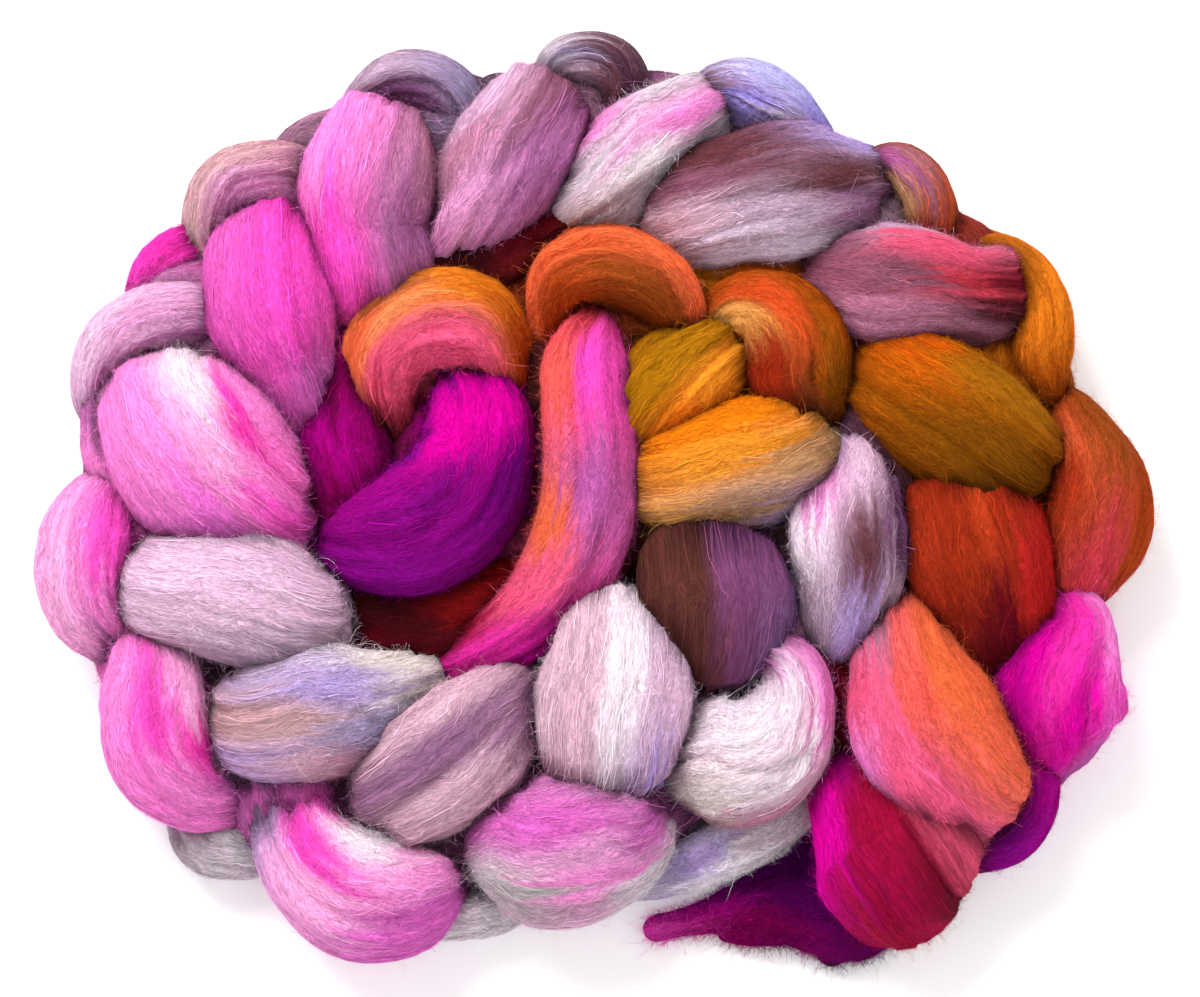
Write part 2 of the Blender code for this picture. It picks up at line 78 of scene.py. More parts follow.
# The folds that show. Each has a name, its thickness as a share of its width, and points of its
# centre line with the width across it there (x, y, z, width). Then come its dyes, each with the one
# or more places where it is strongest: along the fold in hundredths of its length, and across it in
# tenths of its half width; a few of these places are painted highlights, noted where they stand.
# Last are its creases, where the wool parts: depth, width, and points that are placed as the dyes are.
FOLDS = (
    ("crimson_leg", 0.8, ((76, -81, 15, 29), (81, -94, 27, 35), (88, -106, 30, 49), (92, -112, 29, 49),
      (94, -114, 9, 44)),
     (("magenta", 12, 2), ("magenta_bright", 26, 6, 38, 9), ("crimson", 40, 3, 60, 7, 42, -1, 85, 3),
      ("crimson_dark", 68, -1.5, 95, 0), ("coral_rose", 42, -6, 66, -8), ("crimson", 90, -7)),
     ((1.8, 2.4, (55, -2), (100, 1)), (0.9, 2.4, (30, 3), (57, 9)))),
    ("coral_leg", 0.96, ((90, -33, 14, 27), (92, -48, 33, 30), (96, -64, 36, 43), (102, -78, 36, 44),
      (109, -88, 32, 40), (113, -88, 10, 34)),
     (("dusty_rose", 28, 6), ("coral_pink", 40, 8), ("coral", 40, 2), ("coral_orange", 42, -4),
      ("orchid_light", 52, 10), ("coral_pink", 57, 7), ("coral_orange", 100, -7)),
     ((1.9, 1.8, (32, -4), (55, 1), (70, 5)), (1.0, 2.0, (100, -8), (100, 1)))),
    ("violet_arc", 1.5, ((131, -80, 18, 14), (128, -93, 21, 16), (121, -102, 21, 17), (110, -106, 19, 14),
      (103, -106, 17, 12)),
     (("magenta", 33, -4), ("violet_magenta", 48, -4))),
    ("magenta_arc", 0.86, ((140, -30, 26, 14), (143, -40, 28, 26), (139, -52, 29, 40), (136, -63, 27, 45),
      (135, -72, 23, 32), (134, -80, 18, 18)),
     (("orchid_light", 30, -9), ("orchid_hot", 47, -9), ("magenta_bright", 48, 5), ("hot_pink", 40, 0),
      ("magenta", 60, 6), ("magenta_bright", 62, -3), ("orchid_mauve", 77, -9)),
     ((1.3, 2.0, (30, -6), (58, -3)), (0.9, 1.8, (20, -4), (30, -8)))),
    ("brick_leg", 0.92, ((108, 3, 12, 34), (110, -6, 30, 39), (114, -20, 33, 43), (118, -33, 29, 37),
      (120, -43, 23, 39), (121, -45, 12, 34)),
     (("brick", 33, 1, 37, -4), ("red", 58, -7), ("maroon", 72, -1), ("vermilion", 32, -2)),
     ((1.2, 2.2, (48, 0), (72, 2)),)),
    ("rust_arc", 0.98, ((142, 30, 19, 14), (147, 18, 25, 23), (150, 6, 28, 32), (150, -9, 28, 34),
      (146, -22, 24, 26), (143, -31, 19, 17)),
     # The coral_orange place is a painted highlight on a small bulge.
     (("coral_orange", 27, 6), ("brick", 42, 7), ("rust", 15, 6), ("rust_brown", 25, -4),
      ("rose_red", 78, -4), ("rust", 63, -8)),
     ((0.9, 1.8, (37, 3), (48, 5)),)),
    ("gold_leg", 0.98, ((87, 40, 11, 32), (92, 34, 30, 37), (104, 25, 35, 41), (116, 16, 35, 41),
      (122, 11, 31, 37), (124, 13, 11, 32)),
     (("burnt_orange", 32, -6), ("ochre", 50, -7), ("burnt_orange", 100, -3), ("ochre_dark", 70, 2)),
     ((0.9, 1.8, (45, 1), (62, -3), (100, 5)), (0.9, 2.0, (38, 8), (65, 6)))),
    ("orange_arc", 1.36, ((112, 75, 17, 10), (122, 76, 21, 13), (131, 66, 24, 19), (135, 54, 25, 20),
      (134, 42, 23, 20), (136, 31, 19, 13)),
     (("orange", 20, 2, 65, 5, 60, -5), ("copper", 82, -6, 82, 5), ("rust", 25, 8)),
     ((0.9, 1.8, (65, 5), (85, 3)),)),
    ("mauve_red_leg", 1.1, ((63, 71, 15, 22), (72, 67, 29, 22), (83, 64, 33, 37), (97, 63, 34, 37),
      (108, 62, 31, 30), (116, 62, 26, 33), (118, 64, 11, 28)),
     (("mauve_pale", 38, -9), ("plum_rose", 27, -6), ("coral_rose", 53, -5), ("rose_red", 60, 0),
      ("maroon", 75, 0), ("maroon_dark", 75, 4), ("dusty_rose", 55, 8), ("plum_rose", 48, 0),
      ("mauve_pale", 100, -6)),
     ((1.1, 2.2, (28, -4), (47, 0), (65, 1)),)),
    ("tan_arc", 1.45, ((82, 102, 20, 10), (89, 102, 23, 15), (96, 97, 25, 20), (100, 90, 23, 20),
      (102, 79, 18, 15)),
     (("rust_brown", 27, -7), ("orchid_mauve", 28, -2), ("plum_rose", 18, 7), ("tan", 52, 7),
      ("rose_brown", 43, -4), ("rust", 55, -6, 73, 3), ("copper", 48, -10))),
    ("plum_leg", 0.98, ((24, 88, 11, 33), (31, 88, 29, 38), (42, 90, 33, 38), (56, 92, 35, 42),
      (70, 94, 32, 37), (78, 96, 27, 25), (84, 98, 15, 25)),
     (("plum_brown", 38, -6, 68, 1), ("plum_rose", 32, -3), ("dusk", 72, 6), ("lavender", 83, -8),
      ("mauve_silver", 90, 0), ("rose_pale", 25, 4), ("mauve_silver", 55, 5), ("silver_lilac", 52, 8)),
     ((2.0, 1.7, (40, 2), (62, 2), (85, 6)),)),
    ("lavender_arc", 1.4, ((40, 114, 17, 11), (32, 121, 22, 12), (35, 126, 25, 13), (44, 125, 26, 20),
      (54, 121, 24, 20), (63, 116, 19, 14), (69, 110, 15, 11)),
     (("rose_brown", 28, -2, 15, 6), ("periwinkle_pale", 53, -6), ("periwinkle", 52, 4),
      ("silver_lilac", 68, 4), ("periwinkle", 82, -2), ("violet_grey", 3, 4))),
    ("silver_leg", 1.06, ((33, 121, 16, 20), (27, 116, 28, 28), (15, 107, 32, 34), (4, 97, 30, 31),
      (-4, 91, 25, 30), (-7, 89, 13, 26)),
     (("silver", 32, 8), ("orchid_light", 52, 8, 32, -2), ("silver", 55, 3), ("white_wool", 48, -4),
      ("grey_green", 88, -1), ("silver_grey", 58, -7, 18, -7), ("lilac_pink", 45, 1)),
     ((1.1, 2.6, (32, -8), (60, -8)), (0.7, 2.0, (17, 0), (52, 5)))),
    ("lilac_arc", 1.6, ((-15, 129, 19, 10), (-11, 135, 23, 14), (-2, 136, 25, 16), (5, 133, 24, 17),
      (8, 126, 21, 16), (4, 121, 16, 11)),
     (("silver", 25, -2), ("lavender_grey", 38, 0), ("mauve_silver", 35, 8), ("plum_brown", 50, -3),
      ("plum_dark", 62, -2), ("plum_brown", 58, 5))),
    ("orchid_leg", 1.08, ((-18, 120, 11, 30), (-20, 113, 31, 35), (-26, 102, 34, 39), (-34, 89, 32, 34),
      (-41, 77, 27, 23), (-46, 72, 14, 23)),
     (("rose_pale", 0, 7), ("plum_rose", 30, -3), ("mauve_pale", 38, 8), ("dusty_rose", 52, 6),
      ("mauve", 43, -5), ("lilac_pink", 63, 2), ("orchid_mauve", 90, 2)),
     ((1.8, 2.6, (32, -7), (52, 0), (72, 8)), (0.9, 2.2, (7, -1), (47, 8)))),
    ("slate_arc", 1.5, ((-74, 112, 16, 9), (-75, 119, 18, 11), (-71, 124, 21, 13), (-64, 128, 24, 17),
      (-56, 129, 25, 20), (-47, 126, 24, 20), (-41, 120, 23, 17), (-40, 111, 20, 13), (-44, 104, 17, 9)),
     (("mauve_silver", 17, 3, 43, -5), ("lavender_grey", 57, -4), ("mauve_dark", 42, 8))),
    ("pink_leg", 1.06, ((-68, 111, 9, 33), (-69, 103, 32, 38), (-70, 94, 35, 43), (-70, 81, 33, 36),
      (-68, 70, 28, 38), (-68, 65, 9, 33)),
     (("pink_light", 8, 4), ("orchid_light", 40, 7, 17, 0), ("dusty_rose", 37, -10), ("orchid_hot", 60, 6),
      ("mauve", 62, -8, 100, 4)),
     ((1.2, 2.4, (37, -6), (58, -1), (100, 5)), (0.9, 2.2, (58, -9), (100, 1)))),
    ("beige_arc", 1.5, ((-117, 71, 14, 11), (-119, 82, 20, 14), (-113, 96, 25, 19), (-100, 100, 26, 20),
      (-89, 99, 23, 19), (-81, 94, 18, 14)),
     (("dusty_rose", 73, -4), ("beige_rose", 58, -5, 18, -5), ("lilac_pink", 50, 6), ("dusty_rose", 5, -1))),
    ("rose_leg", 1.08, ((-100, 79, 11, 29), (-100, 73, 29, 34), (-99, 64, 34, 36), (-97, 53, 34, 38),
      (-94, 42, 30, 31), (-91, 34, 24, 34), (-91, 33, 11, 29)),
     (("mauve_pink", 0, 0), ("orchid_hot", 22, -5), ("orchid_mauve", 70, -4), ("mauve", 100, -2),
      ("orchid_hot", 55, -3))),
    ("mauve_arc", 1.5, ((-152, 28, 13, 12), (-152, 37, 18, 15), (-147, 47, 22, 19), (-137, 54, 25, 20),
      (-125, 56, 25, 20), (-114, 56, 20, 16)),
     (("pink_pale", 42, -3), ("lilac_pink", 52, 0), ("pink_pale", 55, 9), ("mauve", 85, 10),
      ("mauve_pink", 12, 5, 60, 10)),
     ((1.6, 2.0, (10, 4), (30, 7), (53, 10)),)),
    ("blush_leg", 0.86, ((-128, 32, 9, 41), (-126, 24, 31, 47), (-120, 13, 35, 53), (-111, 2, 33, 50),
      (-103, -5, 27, 47), (-100, -4, 9, 41)),
     # The white_pink place is a painted highlight.
     (("pink_light", 0, -2), ("white_pink", 35, -4), ("pink_light", 55, -1), ("hot_pink", 12, -8, 48, -6),
      ("orchid_light", 47, -8, 50, 5), ("orchid", 58, 5), ("orchid_hot", 62, -1)),
     ((1.5, 2.0, (48, -8), (100, -1), (100, 4)), (1.0, 2.2, (32, 0), (52, 3), (65, 3)),
      (1.9, 2.4, (28, 7), (42, 8), (52, 8)), (1.0, 2.0, (15, -7), (52, -4)))),
    ("peony_arc", 1.05, ((-144, 6, 18, 16), (-150, -7, 24, 28), (-152, -20, 26, 32), (-151, -32, 24, 28),
      (-145, -42, 18, 18), (-141, -49, 13, 11)),
     (("orchid_hot", 48, -4), ("orchid_light", 62, -2), ("pink_light", 62, 7), ("mauve_pink", 85, 3)),
     ((1.3, 1.8, (43, 8), (63, 8)),)),
    ("pearl_leg", 0.98, ((-128, -24, 12, 32), (-126, -28, 31, 36), (-116, -29, 36, 40), (-102, -34, 37, 40),
      (-90, -38, 32, 36), (-88, -35, 12, 32)),
     (("pink_pale", 0, -5), ("mauve_silver", 0, 3), ("pink_pale", 50, 2), ("mauve_silver", 63, 6)),
     ((1.0, 2.0, (15, -3), (55, -4)),)),
    ("fuchsia_arc", 0.98, ((-135, -42, 24, 15), (-132, -53, 28, 28), (-131, -67, 29, 34), (-128, -81, 27, 32),
      (-118, -90, 22, 22), (-105, -92, 17, 13)),
     (("orchid_light", 33, 8), ("orchid_hot", 43, 0), ("pink_light", 37, -7), ("hot_pink", 53, -7),
      ("orchid_light", 60, 0), ("orchid_mauve", 93, -4)),
     ((1.7, 2.0, (32, 0), (52, -1)), (0.9, 1.8, (40, 9), (65, 6)))),
    ("lilac_leg", 1.04, ((-102, -65, 11, 31), (-98, -68, 30, 36), (-86, -66, 34, 40), (-73, -64, 33, 38),
      (-60, -60, 29, 27), (-50, -56, 15, 24)),
     (("lavender", 57, -2), ("cream", 70, -4, 82, 4), ("beige_rose", 38, 2), ("lilac", 28, 8),
      ("rose_pale", 47, 9), ("dusty_rose", 55, 10), ("lavender_grey", 60, 6)),
     ((1.5, 1.6, (2, 2), (47, -1), (68, 7)), (1.2, 2.0, (50, -5), (70, 2)))),
    ("dusk_leg", 1.06, ((-58, -87, 10, 32), (-56, -88, 29, 36), (-47, -82, 34, 40), (-36, -73, 33, 38),
      (-27, -64, 28, 28), (-21, -57, 14, 24)),
     (("rose_pale", 55, -7, 0, -5), ("dusk", 48, 0), ("rose_pale", 48, 6), ("dusk", 72, 6)),
     ((1.7, 2.2, (27, 7), (40, 3), (58, 2)), (1.0, 2.0, (30, 9), (53, 10)))),
    ("candy_arc", 0.92, ((-93, -86, 20, 18), (-90, -99, 24, 25), (-82, -111, 27, 34), (-70, -119, 28, 40),
      (-58, -120, 27, 35), (-50, -118, 25, 27), (-45, -116, 21, 17)),
     # The white_pink place is a painted highlight.
     (("lilac", 12, 6), ("orchid_hot", 17, -9, 38, 0), ("white_pink", 55, -8), ("pink_light", 88, -6, 48, 5),
      ("orchid", 77, 7), ("orchid_light", 98, -4)),
     ((1.7, 2.0, (23, 8), (47, 6), (72, 5)), (1.2, 2.0, (17, 0), (50, -2), (85, -1)))),
    ("orchid_arc", 0.92, ((-36, -108, 21, 17), (-28, -107, 26, 32), (-16, -108, 31, 44), (-2, -105, 31, 44),
      (9, -102, 28, 34), (14, -98, 24, 23)),
     (("orchid", 50, -2), ("lilac_pink", 85, -6), ("orchid", 100, -4), ("orchid_mauve", 80, 2),
      ("lilac_pink", 57, 2), ("orchid_light", 52, 6), ("silver", 18, 6), ("grey_green", 38, 6),
      ("silver", 78, 9)),
     ((1.4, 1.6, (25, -7), (57, 0), (90, 9)), (1.2, 2.0, (8, 4), (35, 8)))),
    ("shell_leg", 0.92, ((7, -42, 10, 38), (7, -48, 33, 43), (6, -58, 37, 47), (4, -68, 37, 48),
      (3, -75, 31, 43), (2, -74, 10, 38)),
     (("white_wool", 100, -4), ("periwinkle_pale", 100, -8), ("periwinkle", 73, -8), ("rose_pale", 52, 3),
      ("white_pink", 50, 0), ("pink_pale", 50, -8), ("mauve_pale", 65, -9)),
     ((1.0, 2.6, (40, 3), (100, -2)), (0.9, 2.0, (55, 0), (68, -5)))),
    ("white_arc", 1.0, ((41, -52, 27, 11), (49, -49, 32, 14), (57, -53, 34, 20), (58, -65, 34, 26),
      (50, -77, 32, 37), (38, -80, 27, 39), (27, -82, 22, 26)),
     (("orchid", 8, 4), ("orchid_light", 38, -8), ("white_wool", 0, 10), ("white_pink", 45, 4, 55, -7),
      ("cream", 77, -7), ("rose_brown", 83, -10), ("dusty_rose", 67, -10), ("mauve_silver", 93, -10)),
     ((2.0, 1.3, (90, 2), (73, 0), (50, -6)), (0.8, 1.8, (85, -6), (63, -7)))),
    ("umber_leg", 0.88, ((33, -19, 9, 40), (33, -26, 32, 46), (34, -33, 33, 51), (34, -42, 29, 46),
      (33, -41, 9, 40)),
     (("umber", 30, 6, 55, 8, 45, 2), ("plum", 42, -3, 40, -8), ("brown_rust", 85, 1), ("umber", 75, 5),
      ("violet_grey", 60, -10)),
     ((1.2, 1.8, (45, 7), (100, -7)), (0.9, 1.8, (48, 2), (65, -2)))),
    ("iris_arc", 1.02, ((78, 17, 22, 18), (77, 5, 28, 30), (76, -11, 32, 38), (76, -25, 31, 35),
      (74, -38, 27, 27), (72, -47, 21, 16)),
     (("lilac", 20, 7), ("orchid_light", 33, 7), ("pink_pale", 28, -1), ("white_pink", 52, 8),
      ("plum_brown", 55, -2), ("mauve_dark", 47, -8), ("mauve_silver", 67, 8), ("lavender", 75, -3),
      ("mauve_silver", 67, -7)),
     ((1.8, 2.0, (23, 5), (47, 6)), (1.0, 2.2, (20, -7), (42, -8)))),
    ("amber_leg", 1.06, ((18, 4, 11, 29), (26, 3, 31, 34), (38, 6, 35, 38), (50, 9, 34, 38), (57, 12, 29, 34),
      (58, 15, 11, 29)),
     (("orange_vivid", 50, -7), ("amber", 100, -8, 50, -1), ("tan", 67, 3), ("burnt_orange", 13, 4),
      ("amber_pale", 28, 7), ("tan", 53, 8), ("lavender_grey", 58, 9)),
     ((1.0, 2.0, (55, -3), (65, 4)),)),
    ("mustard_leg", 1.1, ((14, 21, 13, 26), (17, 25, 29, 30), (25, 34, 33, 33), (33, 41, 31, 26),
      (38, 45, 16, 20)),
     (("mustard", 50, -4), ("amber", 62, 6), ("ochre_light", 20, 3), ("burnt_orange", 40, 7),
      ("ochre_dark", 0, 3)),
     ((0.8, 1.8, (38, -4), (70, 1)),)),
    ("copper_arc", 1.12, ((34, 53, 28, 13), (41, 57, 32, 17), (51, 55, 35, 25), (60, 45, 34, 32),
      (62, 32, 29, 29), (68, 21, 22, 17), (72, 14, 17, 12)),
     # The amber_pale place is a painted highlight on the nub.
     (("copper", 7, -4), ("amber_pale", 18, 4), ("ochre_dark", 5, 8), ("vermilion", 32, -2), ("brick", 55, 6),
      ("copper", 45, -8), ("ochre_dark", 53, -7), ("brown_rust", 75, 3)),
     ((1.7, 1.8, (38, -7), (50, -3), (68, -1)), (1.1, 1.8, (25, -3), (30, 9)))),
    ("flame_arc", 1.3, ((-16, 50, 21, 12), (-15, 60, 28, 17), (-10, 67, 33, 23), (4, 69, 37, 26),
      (17, 64, 34, 25), (25, 55, 27, 17), (26, 47, 20, 12)),
     (("coral_orange", 25, -6, 72, -8), ("rust", 23, 6), ("rust_brown", 65, 7)),
     ((1.8, 1.6, (27, -3), (45, -2), (72, 1)), (0.8, 1.6, (28, 5), (53, 3), (73, 4)))),
    ("coral_run", 1.04, ((-1, 51, 32, 15), (-4, 42, 36, 23), (-4, 24, 38, 26), (-3, 5, 37, 27),
      (-6, -15, 37, 28), (-16, -33, 34, 25), (-32, -45, 29, 20), (-47, -52, 24, 12)),
     (("rose_red", 5, 3), ("coral", 18, 5), ("orchid_hot", 17, -1), ("orchid_mauve", 45, -1),
      ("coral_orange", 55, 6), ("coral_pink", 63, 5), ("hot_pink", 85, -5), ("crimson", 87, 10),
      ("magenta", 82, -10)),
     ((1.1, 1.8, (10, 8), (25, 4)), (0.9, 1.8, (33, 3), (55, 1)), (0.8, 1.8, (38, -3), (57, -6), (70, -7)))),
    ("peach_arc", 1.24, ((-63, 19, 20, 17), (-66, 31, 28, 20), (-63, 43, 33, 25), (-52, 51, 36, 28),
      (-38, 51, 35, 28), (-30, 44, 30, 21), (-26, 34, 22, 14)),
     (("orange", 63, -8), ("rust", 78, -7), ("peach", 45, -6), ("coral_orange", 37, -7),
      ("coral_pink", 58, 6, 33, 1), ("rose_red", 22, 0), ("maroon", 12, 0)),
     ((1.8, 1.8, (28, 3), (45, -1), (63, -4)), (0.9, 1.8, (52, 4), (70, 2), (83, -3)))),
    ("violet_loop", 0.96, ((-40, 36, 24, 21), (-36, 24, 30, 32), (-37, 9, 33, 37), (-44, -5, 35, 41),
      (-58, -13, 34, 40), (-71, -15, 29, 28), (-78, -14, 24, 18)),
     (("violet_magenta", 10, 3), ("violet", 13, -6), ("magenta_bright", 25, 1, 25, -5, 37, 4),
      ("violet_dark", 40, -7), ("violet_magenta", 42, 10), ("violet", 53, 1), ("violet_magenta", 75, -9)),
     ((1.2, 2.2, (47, 2), (60, -2)), (1.5, 2.6, (35, 9), (35, 4), (43, 2)))),
)

# Folds that show only at the edges of those or between them.
UNDER_FOLDS = (
    ("mauve_side", 1.1, ((-149, 33, 18, 14), (-148, 21, 21, 16), (-146, 10, 22, 18), (-140, -1, 21, 18),
      (-131, -6, 18, 15)),
     (("orchid_light", 62, 0), ("mauve", 23, -3), ("orchid", 90, 1))),
    ("pink_back", 0.95, ((-140, 61, 13, 12), (-134, 70, 18, 17), (-126, 76, 19, 18), (-117, 78, 16, 14)),
     (("orchid_hot", 35, 2), ("hot_pink", 62, 0))),
    ("blush_back", 1.0, ((-88, 108, 14, 13), (-82, 113, 17, 14), (-75, 117, 16, 12)),
     (("white_pink", 32, -1, 55, -1),)),
    ("lavender_back", 1.3, ((46, 133, 18, 7), (57, 127, 19, 8), (64, 121, 17, 7), (70, 115, 13, 6)),
     (("periwinkle", 50, -1), ("lavender", 80, 0))),
    ("orange_back", 1.0, ((107, 77, 15, 9), (116, 80, 18, 10), (125, 78, 16, 9)),
     (("orange", 52, 3),)),
    ("rust_back", 1.0, ((138, 31, 16, 9), (143, 31, 17, 10), (147, 24, 16, 8)),
     (("rust_brown", 60, 0),)),
    ("maroon_back", 1.0, ((144, -29, 15, 10), (148, -33, 15, 10), (151, -40, 14, 9)),
     (("maroon", 73, -5), ("mauve", 100, -3))),
    ("silver_back", 0.95, ((-124, -94, 12, 12), (-117, -103, 14, 18), (-104, -105, 14, 18),
      (-92, -105, 12, 13)),
     (("silver_grey", 30, 6), ("silver", 60, 4))),
    ("mist_back", 1.0, ((-47, -127, 11, 11), (-36, -123, 13, 17), (-25, -122, 12, 13)),
     (("silver", 50, 6, 72, 2),)),
    ("white_wisp", 0.55, ((11, -116, 10, 10), (28, -108, 13, 20), (46, -99, 13, 22), (63, -88, 12, 18)),
     (("lavender", 35, 3, 13, 10), ("silver", 7, 8), ("white_wool", 57, 5, 30, 10))),
    ("umber_back", 0.9, ((76, 32, 22, 15), (82, 19, 26, 23), (89, 5, 26, 22), (93, -9, 22, 16)),
     (("plum_brown", 62, -2), ("violet_grey", 82, 0))),
    ("gold_back", 0.95, ((22, 72, 23, 15), (37, 70, 26, 18), (53, 67, 26, 19), (69, 61, 22, 14)),
     (("ochre", 25, 0), ("copper", 47, -1))),
    # The last five runs lie deep between the folds: their dark dyes are the wool's own, darkened further as
    # painted shade.
    ("rust_shade", 0.8, ((-59, 65, 21, 21), (-38, 73, 26, 31), (-17, 82, 26, 29), (1, 87, 22, 21)),
     (("maroon", 65, 1), ("maroon_dark", 27, 0), ("brown_rust", 85, 3))),
    ("plum_strip", 0.8, ((-78, 52, 22, 18), (-76, 30, 26, 31), (-75, 8, 25, 34), (-69, -13, 20, 23)),
     (("deep_magenta", 38, 1), ("magenta", 53, 2), ("deep_magenta", 73, 2), ("maroon", 87, 1))),
    ("maroon_run", 0.7, ((-17, -28, 24, 24), (-44, -35, 24, 35), (-68, -33, 20, 31), (-80, -26, 16, 18)),
     (("maroon_dark", 67, -3), ("maroon", 72, -6), ("red_dark", 30, 1))),
    ("inner_run", 0.8, ((-16, 47, 22, 21), (-17, 30, 22, 21), (13, 18, 22, 24), (13, -6, 22, 30),
      (13, -30, 20, 24)),
     (("maroon_dark", 63, 10), ("umber", 62, 1))),
    ("outer_run", 0.8, ((88, 52, 20, 24), (84, 0, 20, 27), (76, -48, 22, 27), (84, -92, 18, 24)),
     (("umber", 25, 5), ("maroon_dark", 57, -10), ("maroon", 68, -2))),
)

# The loose end, as thin fans of fibre that lie on the surface.
TAIL_FOLDS = (
    ("tail_main", 0.25, ((86, -117, 7, 31), (76, -119, 7, 36), (66, -120, 6, 32), (55, -120, 5, 24),
      (45, -121, 5, 16), (35, -124, 4, 11), (26, -126, 4, 8), (17, -128, 3, 8)),
     (("violet_dark", 15, 0, 40, 0), ("deep_magenta", 60, -4), ("violet_dark", 55, 7), ("magenta", 78, 2),
      ("orchid_hot", 97, 0))),
    ("tail_low", 0.22, ((81, -120, 5, 24), (76, -127, 5, 23), (72, -132, 4, 17), (70, -135, 3, 10)),
     (("violet_dark", 30, 0), ("plum_dark", 95, 0))),
    ("tail_mid", 0.25, ((61, -121, 5, 19), (52, -124, 5, 19), (45, -127, 4, 13), (39, -129, 3, 7)),
     (("violet_dark", 10, 0), ("deep_magenta", 70, 0))),
    ("tail_top", 0.3, ((78, -110, 8, 25), (70, -107, 7, 19), (64, -103, 6, 13), (61, -101, 5, 8)),
     (("violet_dark", 30, 0, 90, 0),)),
)

# The middle of the braid, from the loose end round the coil and in to its centre (x, y).
BRAID_LINE = (
    (92, -107), (114, -75), (127, -46), (129, 9), (121, 39), (104, 70), (78, 90), (52, 103), (25, 112),
    (-11, 117), (-47, 113), (-84, 99), (-112, 72), (-132, 36), (-138, 0), (-134, -31), (-122, -61),
    (-103, -84), (-74, -98), (-43, -100), (-11, -96), (16, -84), (41, -68), (56, -43), (61, -15), (59, 11),
    (53, 33), (35, 50), (13, 61), (-11, 65), (-37, 58), (-55, 38), (-53, 15), (-38, -6), (-12, -6),
)

# The back loops and the strand inside the braid, as in the solid.
BACK_PITCH, BACK_LENGTH, BACK_SLANT = 34.0, 40.0, 11.0
BACK_WIDTH, BACK_DEPTH, BACK_HEIGHT = 40.0, 34.0, 15.5
BACK_TAPER = ((-1.0, 0.45), (-0.5, 0.85), (0.0, 1.0), (0.5, 0.85), (1.0, 0.45))
CORE_WIDTH, CORE_DEPTH, CORE_HEIGHT = 38.0, 22.0, 17.0
# How many dye places the inner strand takes, and the painted shade that darkens the back loops and the inner
# strand, as a share of their dyes.
CORE_DYES, BACK_SHADE, CORE_SHADE = 24, 0.8, 0.45
FOLD_STEPS, BRAID_STEPS = 60, 400

# A fold's ends: how far they reach past its line, as a share of its width, and how blunt they are.
CAP_REACH = 0.4
CAP_CURVE = (2.5, 0.47)

# The wool's relief: ripples, so many to a turn, and the half width from which it is at its full.
RIPPLES = (2, 3, 4, 5, 7, 9, 12, 15, 19, 24, 30)
RIPPLE_HEIGHT, WIDEST_RIPPLE, RIPPLE_FALL = 0.62, 3, 0.9
FULL_RELIEF = 11.0

# How the fibres wander round a fold (angle, times along it), and the streaks of colour round it.
SWAYS = ((0.10, 0.8), (0.035, 2.3), (0.012, 5.5))
STREAKS = (6, 11, 17, 23, 31, 41)
STREAK_RANGE, STREAK_SHADE = 2.4, 0.09

# How the dyes blend: their reach along and across the fibres, how wide and how steep each one's middle
# is, and how far a streak carries them along and across.
DYE_REACH = (14.0, 7.0)
DYE_MIDDLE, DYE_FALL = 0.15, 2.2
STREAK_CARRY = (4.0, 1.0)

# Where folds touch, as a share of the other's half width, and how dark the painted shade makes the wool near
# there.
TOUCHING, FAR = 0.97, 9.0
CREASE_DARK, CREASE_REACH, CREASE_CURVE = 0.22, 0.30, 0.75

# How many rings and sides the lofts have, and how many fibres of each kind are made.
STITCH_RINGS, STITCH_SIDES = 42, 62
UNDER_RINGS, UNDER_SIDES = 26, 26
TAIL_RINGS, TAIL_SIDES = 40, 30
COIL_FIBRES = {"lying": 22000, "fuzz": 56000, "nap": 180000, "stray": 8000}
TAIL_FIBRES = {"lying": 1000, "fuzz": 4000, "nap": 14000, "stray": 1800, "tufts": 9000}
FIBRE_GROUPS = 6

# Fibres start where wool faces up or out, on this share of the rest, and no lower than this.
SHOWN_RISE, UNDER_SHARE, LOWEST_FIBRE = -0.25, 0.3, 0.3

# Fibres that lie along a fold, crimped as wool is, and their spread of lightness.
LYING_STEPS, LYING_LENGTH, LYING_WIDTH, LYING_LIFT = 6, (4.0, 9.5), (0.10, 0.24), (0.05, 0.55)
CRIMP, CRIMP_LENGTH, SLANT = 0.30, (2.8, 6.0), 0.30
LIGHTNESS_SPREAD = 0.24

# Fibres that leave a fold and curl: points along one, length, usual height and width. The nap is
# short and soft, one triangle a fibre. Strays have worked loose, and tufts make a torn end ragged.
CURLS = {
    "nap": (2, (0.8, 2.8), 0.9, (0.09, 0.17)),
    "fuzz": (3, (1.5, 4.5), 1.2, (0.04, 0.08)),
    "stray": (5, (4.0, 12.0), 1.8, (0.04, 0.07)),
    "tufts": (4, (1.5, 4.5), 1.2, (0.06, 0.12)),
}
TALLEST = 6.0

# The photo's view, in metres and degrees from straight down.
VIEW_TILT, VIEW_DISTANCE, VIEW_TARGET = 10.0, 1.5, (0.0001, -0.0052, 0.030)
SENSOR, LENS = 36.0, 150.0

# Studio lamps: name, place, size and power. The sky is paler round the sides than overhead.
LAMPS = (("key", (-0.45, 0.65, 1.0), 0.7, 17.0), ("fill", (0.8, -0.4, 1.1), 1.2, 3.0))
SKY_SIDES, SKY_TOP = 1.20, 0.55
FLOOR_SIZE, FLOOR_COLOUR, FLOOR_GLOW = 4, (0.96, 0.96, 0.965, 1.0), 0.22
WHITE = (1.0, 1.0, 1.0, 1.0)


def linear(colour):
    """Linear colour of an sRGB one given from 0 to 255."""
    c = np.array(colour) / 255.0
    return np.where(c <= 0.04045, c / 12.92, ((c + 0.055) / 1.055) ** 2.4)


def unit(vectors):
    return vectors / np.maximum(np.linalg.norm(vectors, axis=-1, keepdims=True), 1e-9)


